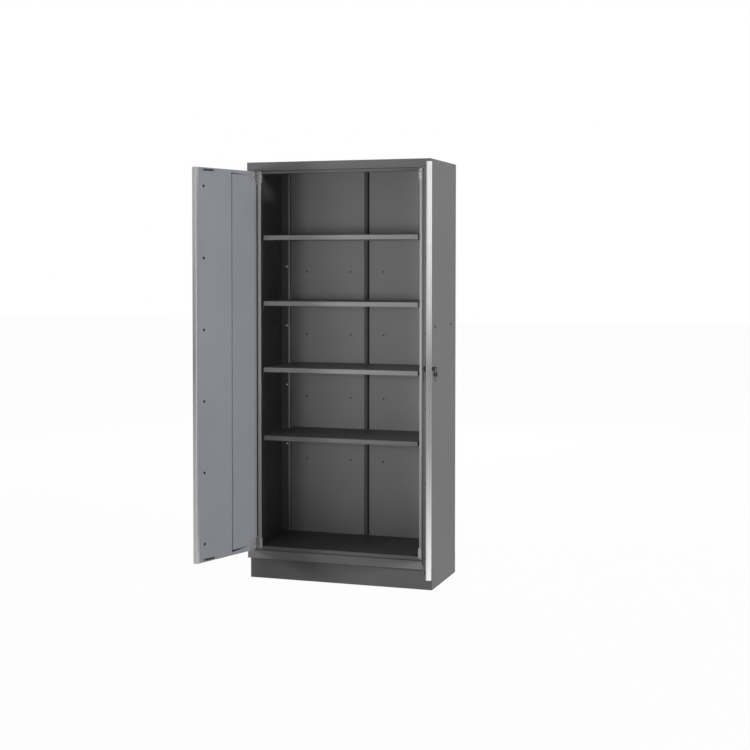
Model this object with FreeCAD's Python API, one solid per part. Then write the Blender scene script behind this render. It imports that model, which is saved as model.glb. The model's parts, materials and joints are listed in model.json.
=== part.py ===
"""Workshop cabinet: a steel body on a plinth, four lipped shelves and two hinged doors, one with a lock.

Millimetres, +Z up. The origin is on the floor, at mid width, in the plane of the back. +X is to the right
of someone who faces the doors, and +Y points to the back. The doors are stored open.
"""

import FreeCAD, Part
import math
import os

os.makedirs("parts", exist_ok=True)

# Overall sizes
WIDTH = 910.0
DEPTH = 460.0
HEIGHT = 2000.0

# Sheet metal
GAUGE = 1.2
DOOR_GAUGE = 1.0
BEND = 1.5

# Plinth
PLINTH_HEIGHT = 100.0
KICK_SETBACK = 35.0
KICK_RETURN = 30.0
PLINTH_FLANGE = 25.0
PLINTH_FOOT = 30.0
PLINTH_SEAM = 0.8
FOOT_BEND = 0.3

# Front frame: faces of the rails and posts, the rebate that takes the doors, and the stop lip behind it
TOP_RAIL_FACE = 40.0
BOTTOM_RAIL_FACE = 40.0
POST_FACE = 17.0
REBATE = 25.0
TOP_LIP = 14.0
BOTTOM_LIP = 17.0
SIDE_LIP = 43.0
POST_RETURN = 40.0
RAIL_RETURN = 20.0

# Back: two shallow pans, a groove between them with a seal in it, and the holes that fix them to a wall
BACK_PAN_DEPTH = 5.0
BACK_GROOVE = 24.0
BACK_STRIP_WIDTH = 44.0
BACK_SEAL_WIDTH = 10.0
BACK_SEAL_DEPTH = 3.0
REAR_FLANGE = 25.0
BACK_HOLE_R = 3.5
BACK_HOLE_X_OUTER = 320.0
BACK_HOLE_X_INNER = 87.0
BACK_HOLE_Z_LOW = 529.0
BACK_HOLE_PITCH = 316.0
BACK_HOLE_ROWS = 4

# Rear corner uprights
UPRIGHT_SIDE_LEG = 58.0
UPRIGHT_WIDTH = 49.0
UPRIGHT_PROUD = 12.0
UPRIGHT_BEND = 4.0
UPRIGHT_SCREW_INSET = 30.0
UPRIGHT_SCREW_Z_LOW = 604.0
UPRIGHT_SCREW_PITCH = 300.0
UPRIGHT_SCREW_COUNT = 4

# Holes that bolt cabinets together side by side
JOIN_HOLE_R = 5.5
JOIN_HOLE_Z = 1225.0
JOIN_HOLE_SPACING = 288.0
JOIN_HOLE_BACK_INSET = 92.0
JOIN_HOLE_COUNT = 2

# Floor bearers
BEARER_WIDTH = 30.0

# Shelves
SHELF_TOPS = [690.0, 1019.0, 1338.0, 1653.0]
SHELF_LIP = 22.5
SHELF_HEM = 12.0
SHELF_SIDE_FLANGE = 20.0
SHELF_END_GAP = 10.0
SHELF_FRONT_GAP = 9.0
SHELF_BACK_GAP = 1.5

# Shelf clips
CLIP_GAUGE = 2.0
CLIP_WIDTH = 10.0
CLIP_LEG = 24.0
CLIP_BEARING = 9.0
CLIP_INSET = 2.0

# Doors
DOOR_THICKNESS = 22.0
DOOR_SIDE_GAP = 3.5
DOOR_END_GAP = 3.0
DOOR_MEETING_GAP = 3.0
LEFT_DOOR_OPEN = 107.0
RIGHT_DOOR_OPEN = 108.5
PIVOT_FROM_FACE = 6.5
PIVOT_FROM_EDGE = 7.0

# Door edge profile
PROFILE_WALL = 2.5
PROFILE_LEG = 16.0
PROFILE_LEG_WALL = 1.2
PROFILE_CORNER = 2.0
PROFILE_GRIP = 6.0
PROFILE_GROOVE = 1.2

# Raised stiffener on the door's inner face: a step that slopes away towards the hinge
STIFFENER_STEP = 7.0
STIFFENER_STEP_FROM_HINGE = 186.0
STIFFENER_FOOT_FROM_HINGE = 62.0
STIFFENER_TOP_GAP = 20.0
STIFFENER_BOTTOM_GAP = 27.0
STIFFENER_TOE = 0.4
STIFFENER_LAND = 6.0

# Small holes along the door's inner panel
PANEL_HOLE_R = 4.5
PANEL_HOLE_FROM_FREE_EDGE = 53.0
PANEL_HOLE_Z_LOW = 227.0
PANEL_HOLE_PITCH = 329.0
PANEL_HOLE_COUNT = 6

# Magnetic catches
CATCH_LENGTH = 52.0
CATCH_HEIGHT = 9.0
CATCH_THICKNESS = 2.0
CATCH_FROM_FREE_EDGE = 86.0
CATCH_END_GAP = 6.0
CATCH_TAB_LENGTH = 18.0
CATCH_TAB_THICKNESS = 1.0
CATCH_SCREW_REACH = 39.0

# Hinges
KNUCKLE_R = 5.0
KNUCKLE_LENGTH = 24.0
KNUCKLE_GAP = 0.3
PIN_R = 2.5
PIN_CLEARANCE = 0.05
PIN_HEAD_R = 3.6
PIN_HEAD_HEIGHT = 1.8
LEAF_GAUGE = 1.0
LEAF_ARM_OFFSET = 3.0
FRAME_LEAF_REACH = 37.0
FRAME_LEAF_HOLE = 20.0
DOOR_LEAF_REACH = 44.0
DOOR_LEAF_HOLE = 32.0
LEAF_HOLE_END = 10.0
HINGE_END_GAP = 4.0
NOTCH_CLEARANCE = 1.5

# Screws
SCREW_R = 2.0
SCREW_HOLE_CLEARANCE = 0.1
SCREW_HEAD_R = 3.6
SCREW_HEAD_HEIGHT = 0.4
SCREW_LENGTH = 4.0
UPRIGHT_SCREW_HEAD_R = 4.5
UPRIGHT_SCREW_HEAD_HEIGHT = 2.4
UPRIGHT_SCREW_LENGTH = 10.0

# Lock
LOCK_Z = 1060.0
LOCK_FROM_FREE_EDGE = 45.0
LOCK_BARREL_R = 9.0
LOCK_HOLE_CLEARANCE = 0.1
LOCK_BEZEL_R = 12.0
LOCK_BEZEL_THICKNESS = 2.5
LOCK_BEZEL_EASE = 0.8
LOCK_PLATE_WIDTH = 34.0
LOCK_PLATE_HEIGHT = 84.0
LOCK_PLATE_GAUGE = 1.5
LOCK_PLATE_SCREW_OFFSET = 31.0
LOCK_NUT_ACROSS_FLATS = 24.0
LOCK_NUT_THICKNESS = 5.0
LOCK_BARREL_TAIL = 0.5
PLUG_R = 6.0
PLUG_CLEARANCE = 0.05
PLUG_FLANGE_R = 8.0
PLUG_FLANGE_THICKNESS = 1.0
PLUG_FLANGE_GAP = 0.3
PLUG_SQUARE = 7.0
CAM_GAUGE = 2.5
CAM_WIDTH = 18.0
CAM_REACH = 53.0
CAM_END_GAP = 0.4
CAM_SCREW_HEAD_R = 5.5
CAM_SCREW_HEAD_HEIGHT = 2.5
CAM_SCREW_DEPTH = 8.0

# Keys
KEY_BLADE_GAUGE = 2.2
KEY_BLADE_WIDTH = 8.0
KEY_BLADE_LENGTH = 20.0
KEY_TANG = 7.0
KEY_BOW_LENGTH = 23.0
KEY_BOW_WIDTH = 19.0
KEY_BOW_GAUGE = 3.4
KEY_BOW_CORNER = 6.0
KEY_HOLE_R = 3.0
KEY_HOLE_FROM_END = 6.0
KEYWAY_CLEARANCE = 0.1
RING_R = 6.5
RING_WIRE_R = 0.8
RING_CLEARANCE = 0.1

# How far a cutting shape runs past the metal it cuts
CUT_PAST = 6.0

# Places worked out from the sizes above
LEFT = -WIDTH / 2
FRONT = -DEPTH
INSIDE_LEFT = LEFT + GAUGE
BODY_TOP = HEIGHT - GAUGE
OPENING_TOP = HEIGHT - TOP_RAIL_FACE
OPENING_BOTTOM = PLINTH_HEIGHT + BOTTOM_RAIL_FACE
FLOOR_TOP = OPENING_BOTTOM + BOTTOM_LIP
LIP_FACE = FRONT + REBATE
LIP_EDGE = LEFT + POST_FACE + SIDE_LIP
POST_REAR = LIP_FACE + POST_RETURN
KICK_REAR = FRONT + KICK_SETBACK + KICK_RETURN
BACK_FACE = -GAUGE - BACK_PAN_DEPTH
BACK_EDGE = INSIDE_LEFT + BEND
UPRIGHT_FACE = BACK_FACE - UPRIGHT_PROUD
UPRIGHT_EDGE = INSIDE_LEFT + UPRIGHT_WIDTH
SHELF_HALF_WIDTH = -LIP_EDGE - SHELF_END_GAP
SHELF_FRONT = LIP_FACE + SHELF_FRONT_GAP
SHELF_BACK = BACK_FACE - SHELF_BACK_GAP
DOOR_BOTTOM = OPENING_BOTTOM + DOOR_END_GAP
DOOR_TOP = OPENING_TOP - DOOR_END_GAP
DOOR_EDGE = LEFT + POST_FACE + DOOR_SIDE_GAP
DOOR_FREE = -DOOR_MEETING_GAP / 2
DOOR_INNER_FACE = FRONT + DOOR_THICKNESS
PANEL_FREE = DOOR_FREE - PROFILE_WALL
PIVOT_X = DOOR_EDGE + PIVOT_FROM_EDGE
PIVOT_Y = FRONT + PIVOT_FROM_FACE
HINGE_HEIGHT = 2 * KNUCKLE_LENGTH + KNUCKLE_GAP
HINGE_BOTTOMS = (DOOR_BOTTOM + HINGE_END_GAP, DOOR_TOP - HINGE_END_GAP - HINGE_HEIGHT)
NOTCH_EDGE = PIVOT_X + KNUCKLE_R + NOTCH_CLEARANCE
SCREW_HOLE_R = SCREW_R + SCREW_HOLE_CLEARANCE
CATCH_X = DOOR_FREE - CATCH_FROM_FREE_EDGE
CATCH_MIDDLES = (DOOR_BOTTOM + CATCH_END_GAP + CATCH_HEIGHT / 2, DOOR_TOP - CATCH_END_GAP - CATCH_HEIGHT / 2)
LOCK_X = DOOR_FREE - LOCK_FROM_FREE_EDGE
LOCK_HOLE_R = LOCK_BARREL_R + LOCK_HOLE_CLEARANCE
LOCK_NUT_FACE = DOOR_INNER_FACE + LOCK_PLATE_GAUGE
BARREL_END = LOCK_NUT_FACE + LOCK_NUT_THICKNESS + LOCK_BARREL_TAIL
PLUG_FACE = FRONT - LOCK_BEZEL_THICKNESS
CAM_FACE = BARREL_END + CAM_END_GAP
KEY_HOLE_Y = PLUG_FACE - KEY_BOW_LENGTH + KEY_HOLE_FROM_END
RING_SAG = RING_R - math.sqrt(RING_R ** 2 - (KEY_BOW_GAUGE / 2) ** 2)
RING_DROP = KEY_HOLE_R - RING_WIRE_R - RING_SAG - RING_CLEARANCE

X_AXIS = FreeCAD.Vector(1, 0, 0)
Y_AXIS = FreeCAD.Vector(0, 1, 0)
Z_AXIS = FreeCAD.Vector(0, 0, 1)
ORIGIN = FreeCAD.Vector(0, 0, 0)


def box(x0, x1, y0, y1, z0, z1):
    """A block between two values along each axis."""
    return Part.makeBox(x1 - x0, y1 - y0, z1 - z0, FreeCAD.Vector(x0, y0, z0))


def rod(radius, start, direction, length):
    """A round bar from a point along a direction."""
    return Part.makeCylinder(radius, length, start, direction)


def hole(radius, point, axis):
    """A cutter for a round hole through a sheet, with a point of the sheet in the middle."""
    return rod(radius, point - axis * CUT_PAST, axis, 2 * CUT_PAST)


def fold_outline(points, gauge, bend):
    """The closed outline of a folded sheet, with its bends. The points run along one face of the sheet,
    and the metal lies to the left of the way they run."""

    def left_of(step):
        return FreeCAD.Vector(-step.y, step.x, 0)

    corners = [FreeCAD.Vector(x, y, 0) for x, y in points]
    steps = [(b - a).normalize() for a, b in zip(corners, corners[1:])]
    face = []
    rear = []
    face_from = corners[0]
    rear_from = corners[0] + left_of(steps[0]) * gauge
    for corner, before, after in zip(corners[1:-1], steps, steps[1:]):
        turn = before.cross(after).z
        inward = left_of(before) if turn > 0 else left_of(before) * -1
        face_r = bend + gauge if turn > 0 else bend
        rear_r = bend if turn > 0 else bend + gauge
        tangent = face_r * math.tan(before.getAngle(after) / 2)
        enter = corner - before * tangent
        leave = corner + after * tangent
        centre = enter + inward * face_r
        middle = (corner - centre).normalize()
        rear_enter = enter + left_of(before) * gauge
        rear_leave = leave + left_of(after) * gauge
        face.append(Part.LineSegment(face_from, enter).toShape())
        face.append(Part.Arc(enter, centre + middle * face_r, leave).toShape())
        rear.append(Part.LineSegment(rear_from, rear_enter).toShape())
        rear.append(Part.Arc(rear_enter, centre + middle * rear_r, rear_leave).toShape())
        face_from = leave
        rear_from = rear_leave
    rear_end = corners[-1] + left_of(steps[-1]) * gauge
    face.append(Part.LineSegment(face_from, corners[-1]).toShape())
    rear.append(Part.LineSegment(rear_from, rear_end).toShape())
    cap_end = Part.LineSegment(corners[-1], rear_end).toShape()
    cap_start = Part.LineSegment(corners[0] + left_of(steps[0]) * gauge, corners[0]).toShape()
    edges = face + [cap_end] + rear + [cap_start]
    return Part.Wire(Part.__sortEdges__(edges))


def upright_fold(points, gauge, z0, z1, bend=BEND):
    """A folded sheet that stands up, from its outline in plan as (x, y) points."""
    outline = Part.Face(fold_outline(points, gauge, bend))
    outline.translate(Z_AXIS * z0)
    return outline.extrude(Z_AXIS * (z1 - z0))


def cross_fold(points, gauge, x0, x1, bend=BEND):
    """A folded sheet that runs across, from its outline seen from the right as (y, z) points."""
    outline = Part.Face(fold_outline(points, gauge, bend))
    outline.rotate(ORIGIN, X_AXIS, 90)
    outline.rotate(ORIGIN, Z_AXIS, 90)
    outline.translate(X_AXIS * x0)
    return outline.extrude(X_AXIS * (x1 - x0))


def long_fold(points, gauge, y0, y1, bend=BEND):
    """A folded sheet that runs front to back, from its outline seen from the front as (x, z) points."""
    outline = Part.Face(fold_outline(points, gauge, bend))
    outline.rotate(ORIGIN, X_AXIS, 90)
    outline.translate(Y_AXIS * y0)
    return outline.extrude(Y_AXIS * (y1 - y0))


def mirrored(shape):
    """The same piece on the other side of the cabinet."""
    return shape.mirror(ORIGIN, X_AXIS)


def opened(shape, degrees):
    """A piece of the left door, swung open about its hinge pins."""
    swung = shape.copy()
    swung.rotate(FreeCAD.Vector(PIVOT_X, PIVOT_Y, 0), Z_AXIS, -degrees)
    return swung


def side_panel():
    """Left side sheet, with its joining holes and a flange round the back corner."""
    sheet = upright_fold(
        [(INSIDE_LEFT + REAR_FLANGE, 0), (LEFT, 0), (LEFT, FRONT)], GAUGE, PLINTH_HEIGHT, BODY_TOP)
    for number in range(JOIN_HOLE_COUNT):
        y = -JOIN_HOLE_BACK_INSET - number * JOIN_HOLE_SPACING
        sheet = sheet.cut(hole(JOIN_HOLE_R, FreeCAD.Vector(LEFT, y, JOIN_HOLE_Z), X_AXIS))
    return sheet


def top_panel():
    """Flat lid sheet on the tops of the sides and rail."""
    return box(LEFT, -LEFT, FRONT, 0, BODY_TOP, HEIGHT)


def post_room(z0, z1):
    """Both ends of a rail's lip, cut away where the posts stand."""
    rear = LIP_FACE + RAIL_RETURN + GAUGE
    left = box(LEFT, LIP_EDGE, LIP_FACE - GAUGE - BEND, rear, z0 - GAUGE, z1 + GAUGE)
    return left.fuse(mirrored(left))


def top_rail():
    """Front top rail: face, rebate wall, stop lip and a return behind the lip."""
    lip_low = OPENING_TOP - TOP_LIP
    rail = cross_fold(
        [(FRONT, BODY_TOP), (FRONT, OPENING_TOP), (LIP_FACE, OPENING_TOP), (LIP_FACE, lip_low),
         (LIP_FACE + RAIL_RETURN, lip_low)],
        GAUGE, INSIDE_LEFT, -INSIDE_LEFT)
    return rail.cut(post_room(lip_low, OPENING_TOP + GAUGE))


def bottom_rail():
    """Front bottom rail: underside, face, ledge, stop lip and the return that carries the floor."""
    lip_top = FLOOR_TOP - GAUGE
    rail = cross_fold(
        [(LIP_FACE + RAIL_RETURN, lip_top), (LIP_FACE, lip_top), (LIP_FACE, OPENING_BOTTOM),
         (FRONT, OPENING_BOTTOM), (FRONT, PLINTH_HEIGHT), (KICK_REAR, PLINTH_HEIGHT)],
        GAUGE, INSIDE_LEFT, -INSIDE_LEFT)
    return rail.cut(post_room(OPENING_BOTTOM - GAUGE, lip_top))


def leaf_points(x, y):
    """Where screws go through the left door's hinge plates, at one distance across."""
    ends = (LEAF_HOLE_END, HINGE_HEIGHT - LEAF_HOLE_END)
    return [FreeCAD.Vector(x, y, z + end) for z in HINGE_BOTTOMS for end in ends]


def frame_leaf_points():
    """Screws of the left frame hinges, on the front faces of their plates."""
    return leaf_points(PIVOT_X + FRAME_LEAF_HOLE, LIP_FACE - LEAF_GAUGE)


def door_leaf_points():
    """Screws of the left door's hinge leaves, on the inner faces of their plates."""
    return leaf_points(PIVOT_X + DOOR_LEAF_HOLE, DOOR_INNER_FACE + LEAF_GAUGE)


def front_post():
    """Left front post: weld leg inside the side, face, rebate wall, stop lip and return."""
    face_edge = LEFT + POST_FACE
    post = upright_fold(
        [(INSIDE_LEFT, LIP_FACE), (INSIDE_LEFT, FRONT), (face_edge, FRONT), (face_edge, LIP_FACE),
         (LIP_EDGE, LIP_FACE), (LIP_EDGE, POST_REAR)],
        GAUGE, OPENING_BOTTOM, OPENING_TOP)
    for point in frame_leaf_points():
        post = post.cut(hole(SCREW_HOLE_R, point, Y_AXIS))
    return post


def floor_panel():
    """Flat floor sheet on the bottom rail's return and the bearers, notched round the front posts."""
    sheet = box(INSIDE_LEFT, -INSIDE_LEFT, LIP_FACE, BACK_FACE, FLOOR_TOP - GAUGE, FLOOR_TOP)
    notch = box(LEFT, LIP_EDGE, FRONT, POST_REAR, OPENING_BOTTOM, FLOOR_TOP + CUT_PAST)
    return sheet.cut(notch.fuse(mirrored(notch)))


def back_panel():
    """Left back sheet: a shallow pan, flanged towards the wall, with its wall fixing holes."""
    groove_edge = -BACK_GROOVE / 2
    pan = upright_fold(
        [(BACK_EDGE, -GAUGE), (BACK_EDGE, BACK_FACE), (groove_edge, BACK_FACE), (groove_edge, -GAUGE)],
        GAUGE, PLINTH_HEIGHT, BODY_TOP)
    for row in range(BACK_HOLE_ROWS):
        z = BACK_HOLE_Z_LOW + row * BACK_HOLE_PITCH
        for x in (-BACK_HOLE_X_OUTER, -BACK_HOLE_X_INNER):
            pan = pan.cut(hole(BACK_HOLE_R, FreeCAD.Vector(x, BACK_FACE, z), Y_AXIS))
    return pan


def back_centre_strip():
    """Strip that joins the back panels behind the groove between them."""
    half = BACK_STRIP_WIDTH / 2
    return box(-half, half, -GAUGE, 0, PLINTH_HEIGHT, BODY_TOP)


def back_joint_seal():
    """Black seal in the groove, along the edge of the right back panel."""
    edge = BACK_GROOVE / 2
    return box(edge - BACK_SEAL_WIDTH, edge, -GAUGE - BACK_SEAL_DEPTH, -GAUGE, PLINTH_HEIGHT, BODY_TOP)


def upright_screw_points():
    """Where screws hold the left rear upright."""
    x = LEFT + UPRIGHT_SCREW_INSET
    heights = [UPRIGHT_SCREW_Z_LOW + number * UPRIGHT_SCREW_PITCH for number in range(UPRIGHT_SCREW_COUNT)]
    return [FreeCAD.Vector(x, UPRIGHT_FACE, z) for z in heights]


def rear_upright():
    """Left rear upright: a leg on the side, a face across the corner and a rounded edge to the back."""
    leg = INSIDE_LEFT + GAUGE
    sheet = upright_fold(
        [(leg, BACK_FACE - UPRIGHT_SIDE_LEG), (leg, UPRIGHT_FACE), (UPRIGHT_EDGE, UPRIGHT_FACE),
         (UPRIGHT_EDGE, BACK_FACE)],
        GAUGE, FLOOR_TOP, BODY_TOP, UPRIGHT_BEND)
    for point in upright_screw_points():
        sheet = sheet.cut(hole(SCREW_HOLE_R, point, Y_AXIS))
    return sheet


def screw(point, outward, head_r, head_height, length):
    """A screw with a low rounded head on a face and its shank in the hole below."""
    head = rod(head_r, point, outward, head_height)
    crown = point + outward * head_height
    rim = [edge for edge in head.Edges if edge.CenterOfMass.isEqual(crown, SCREW_HOLE_CLEARANCE)]
    head = head.makeFillet(head_height / 2, rim)
    return head.fuse(rod(SCREW_R, point - outward * length, outward, length)).removeSplitter()


def upright_screws():
    """Screws of both rear uprights."""
    left = [screw(point, Y_AXIS * -1, UPRIGHT_SCREW_HEAD_R, UPRIGHT_SCREW_HEAD_HEIGHT, UPRIGHT_SCREW_LENGTH)
            for point in upright_screw_points()]
    return Part.makeCompound(left + [mirrored(one) for one in left])


def floor_bearer():
    """Left floor bearer: a channel under the edge of the floor, on the plinth's flange."""
    inner = INSIDE_LEFT + BEARER_WIDTH
    top = FLOOR_TOP - GAUGE
    return long_fold(
        [(INSIDE_LEFT, PLINTH_HEIGHT), (inner, PLINTH_HEIGHT), (inner, top), (INSIDE_LEFT, top)],
        GAUGE, KICK_REAR, BACK_FACE)


def kick_plate():
    """Front of the plinth, set back under the body and turned round both corners."""
    face = FRONT + KICK_SETBACK
    return upright_fold(
        [(LEFT, KICK_REAR), (LEFT, face), (-LEFT, face), (-LEFT, KICK_REAR)], GAUGE, 0, PLINTH_HEIGHT)


def plinth_side():
    """Left side of the plinth, with the flange that carries the body."""
    return long_fold(
        [(LEFT + PLINTH_FLANGE, PLINTH_HEIGHT), (LEFT, PLINTH_HEIGHT), (LEFT, 0)],
        GAUGE, KICK_REAR + PLINTH_SEAM, -GAUGE)


def plinth_rear_rail():
    """Back of the plinth: a foot flange on the floor, and a top flange that closes the back panels' pans."""
    rail = cross_fold(
        [(-PLINTH_FOOT, 0), (0, 0), (0, PLINTH_HEIGHT), (-PLINTH_FLANGE, PLINTH_HEIGHT)],
        GAUGE, LEFT, -LEFT, FOOT_BEND)
    corner = box(LEFT, LEFT + PLINTH_FLANGE, -PLINTH_FOOT, -GAUGE, 0, PLINTH_HEIGHT)
    return rail.cut(corner.fuse(mirrored(corner)))


def shelf(top):
    """Shelf tray: deck, front lip with a turned-in hem, rear lip and side flanges."""
    tray = cross_fold(
        [(SHELF_BACK, top - SHELF_SIDE_FLANGE), (SHELF_BACK, top), (SHELF_FRONT, top),
         (SHELF_FRONT, top - SHELF_LIP), (SHELF_FRONT + SHELF_HEM, top - SHELF_LIP)],
        GAUGE, -SHELF_HALF_WIDTH, SHELF_HALF_WIDTH)
    flange = box(
        -SHELF_HALF_WIDTH, -SHELF_HALF_WIDTH + GAUGE, SHELF_FRONT + GAUGE, SHELF_BACK - GAUGE,
        top - SHELF_SIDE_FLANGE, top - GAUGE)
    return tray.fuse([flange, mirrored(flange)]).removeSplitter()


def shelf_clip(wall, rear, rest):
    """Angle clip on the inner wall of a left post or upright, under a shelf's side flange."""
    front = rear - CLIP_WIDTH
    tab = box(wall, -SHELF_HALF_WIDTH + CLIP_BEARING, front, rear, rest - CLIP_GAUGE, rest)
    leg = box(wall, wall + CLIP_GAUGE, front, rear, rest - CLIP_LEG, rest)
    return tab.fuse(leg).removeSplitter()


def shelf_clips():
    """All shelf clips, four under each shelf."""
    clips = []
    for top in SHELF_TOPS:
        for wall, rear in ((LIP_EDGE, POST_REAR), (UPRIGHT_EDGE, BACK_FACE)):
            clip = shelf_clip(wall, rear - CLIP_INSET, top - SHELF_SIDE_FLANGE)
            clips += [clip, mirrored(clip)]
    return Part.makeCompound(clips)


def hinge_leaf(low, knuckle_low, bore, plate_y, reach, hole_x):
    """A hinge leaf of the left door: knuckle, arm beside the pin, and the plate it is screwed on by."""
    knuckle_high = knuckle_low + KNUCKLE_LENGTH
    arm_x = PIVOT_X + LEAF_ARM_OFFSET
    plate_rear = plate_y + LEAF_GAUGE
    centre = FreeCAD.Vector(PIVOT_X, PIVOT_Y, knuckle_low)
    leaf = rod(KNUCKLE_R, centre, Z_AXIS, KNUCKLE_LENGTH).fuse([
        box(arm_x, arm_x + LEAF_GAUGE, PIVOT_Y, plate_rear, knuckle_low, knuckle_high),
        box(arm_x, PIVOT_X + reach, plate_y, plate_rear, knuckle_low, knuckle_high),
        box(NOTCH_EDGE, PIVOT_X + reach, plate_y, plate_rear, low, low + HINGE_HEIGHT)])
    leaf = leaf.cut(rod(bore, centre, Z_AXIS, KNUCKLE_LENGTH))
    for end in (LEAF_HOLE_END, HINGE_HEIGHT - LEAF_HOLE_END):
        leaf = leaf.cut(hole(SCREW_HOLE_R, FreeCAD.Vector(hole_x, plate_y, low + end), Y_AXIS))
    return leaf.removeSplitter()


def frame_hinges():
    """Left frame hinge leaves, screwed on the post's lip, with the lower knuckles."""
    return Part.makeCompound([
        hinge_leaf(low, low, PIN_R, LIP_FACE - LEAF_GAUGE, FRAME_LEAF_REACH, PIVOT_X + FRAME_LEAF_HOLE)
        for low in HINGE_BOTTOMS])


def door_hinge_leaves():
    """Left door's hinge leaves, screwed on its inner face, with the upper knuckles."""
    return Part.makeCompound([
        hinge_leaf(low, low + KNUCKLE_LENGTH + KNUCKLE_GAP, PIN_R + PIN_CLEARANCE, DOOR_INNER_FACE,
                   DOOR_LEAF_REACH, PIVOT_X + DOOR_LEAF_HOLE)
        for low in HINGE_BOTTOMS])


def hinge_pins():
    """Left hinge pins, headed below the frame knuckles."""
    pins = []
    for low in HINGE_BOTTOMS:
        foot = FreeCAD.Vector(PIVOT_X, PIVOT_Y, low)
        head = rod(PIN_HEAD_R, foot, Z_AXIS * -1, PIN_HEAD_HEIGHT)
        pins.append(rod(PIN_R, foot, Z_AXIS, HINGE_HEIGHT).fuse(head).removeSplitter())
    return Part.makeCompound(pins)


def flat_screws(points, outward):
    """Low-headed screws at a set of points."""
    return [screw(point, outward, SCREW_HEAD_R, SCREW_HEAD_HEIGHT, SCREW_LENGTH) for point in points]


def frame_hinge_screws():
    """Screws of the frame hinge leaves on both posts."""
    left = flat_screws(frame_leaf_points(), Y_AXIS * -1)
    return Part.makeCompound(left + [mirrored(one) for one in left])


def hinge_notches():
    """Corners of the left door that are cut away behind the skin to make room for the hinges."""
    low, high = HINGE_BOTTOMS
    spans = ((DOOR_BOTTOM - CUT_PAST, low + HINGE_HEIGHT + NOTCH_CLEARANCE),
             (high - NOTCH_CLEARANCE, DOOR_TOP + CUT_PAST))
    rooms = [box(DOOR_EDGE - CUT_PAST, NOTCH_EDGE, FRONT + DOOR_GAUGE, DOOR_INNER_FACE + CUT_PAST, z0, z1)
             for z0, z1 in spans]
    return rooms[0].fuse(rooms[1])


def door_skin():
    """Left door's outer pan: face, hinge edge, free edge, top and bottom walls."""
    rear = DOOR_INNER_FACE - DOOR_GAUGE
    pan = upright_fold(
        [(DOOR_EDGE, rear), (DOOR_EDGE, FRONT), (PANEL_FREE, FRONT), (PANEL_FREE, rear)],
        DOOR_GAUGE, DOOR_BOTTOM, DOOR_TOP)
    ends = [box(DOOR_EDGE + DOOR_GAUGE, PANEL_FREE - DOOR_GAUGE, FRONT + DOOR_GAUGE, rear, z, z + DOOR_GAUGE)
            for z in (DOOR_BOTTOM, DOOR_TOP - DOOR_GAUGE)]
    return pan.fuse(ends).cut(hinge_notches()).removeSplitter()


def catch_screw_points():
    """Where screws hold the left door's catches, on the faces of their end tabs."""
    face = DOOR_INNER_FACE + CATCH_TAB_THICKNESS
    reaches = (-CATCH_SCREW_REACH, CATCH_SCREW_REACH)
    return [FreeCAD.Vector(CATCH_X + reach, face, z) for z in CATCH_MIDDLES for reach in reaches]


def door_inner_panel():
    """Left door's inner sheet, with its column of small holes and its screw holes."""
    sheet = box(DOOR_EDGE, PANEL_FREE, DOOR_INNER_FACE - DOOR_GAUGE, DOOR_INNER_FACE, DOOR_BOTTOM, DOOR_TOP)
    for number in range(PANEL_HOLE_COUNT):
        z = PANEL_HOLE_Z_LOW + number * PANEL_HOLE_PITCH
        point = FreeCAD.Vector(DOOR_FREE - PANEL_HOLE_FROM_FREE_EDGE, DOOR_INNER_FACE, z)
        sheet = sheet.cut(hole(PANEL_HOLE_R, point, Y_AXIS))
    for point in catch_screw_points() + door_leaf_points():
        sheet = sheet.cut(hole(SCREW_HOLE_R, point, Y_AXIS))
    return sheet.cut(hinge_notches())


def wedge(foot, step, toe, height, z0, z1):
    """A prism on the left door's inner face that rises from a foot to a step."""
    corners = [(foot, 0), (step, 0), (step, height), (foot, toe), (foot, 0)]
    outline = Part.makePolygon([FreeCAD.Vector(x, DOOR_INNER_FACE + rise, z0) for x, rise in corners])
    return Part.Face(outline).extrude(Z_AXIS * (z1 - z0))


def door_stiffener():
    """Left door's inner stiffener: a pressed cover, stepped at one edge and sloping to the other."""
    foot = DOOR_EDGE + STIFFENER_FOOT_FROM_HINGE
    step = DOOR_EDGE + STIFFENER_STEP_FROM_HINGE
    z0 = DOOR_BOTTOM + STIFFENER_BOTTOM_GAP
    z1 = DOOR_TOP - STIFFENER_TOP_GAP
    cover = wedge(foot, step, STIFFENER_TOE + DOOR_GAUGE, STIFFENER_STEP, z0, z1)
    hollow = wedge(
        foot + STIFFENER_LAND, step - DOOR_GAUGE, STIFFENER_TOE, STIFFENER_STEP - DOOR_GAUGE,
        z0 + DOOR_GAUGE, z1 - DOOR_GAUGE)
    return cover.cut(hollow)


def door_edge_profile():
    """Left door's free edge: an extruded channel over both sheets, with a groove beside a grip bead."""
    front = FRONT - PROFILE_LEG_WALL
    rear = DOOR_INNER_FACE + PROFILE_LEG_WALL
    start = DOOR_FREE - PROFILE_LEG
    height = DOOR_TOP - DOOR_BOTTOM
    blank = box(start, DOOR_FREE, front, rear, DOOR_BOTTOM, DOOR_TOP)
    corners = [edge for edge in blank.Edges
               if edge.BoundBox.ZLength > height / 2 and edge.CenterOfMass.x > DOOR_FREE - PROFILE_WALL]
    blank = blank.makeFillet(PROFILE_CORNER, corners)
    room = box(start, PANEL_FREE, FRONT, DOOR_INNER_FACE, DOOR_BOTTOM, DOOR_TOP)
    groove_y = front + PROFILE_GRIP
    ways = [(0, 0), (-PROFILE_GROOVE, PROFILE_GROOVE), (0, 2 * PROFILE_GROOVE), (0, 0)]
    groove = Part.makePolygon([FreeCAD.Vector(DOOR_FREE + x, groove_y + y, DOOR_BOTTOM) for x, y in ways])
    return blank.cut(room).cut(Part.Face(groove).extrude(Z_AXIS * height))


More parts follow.
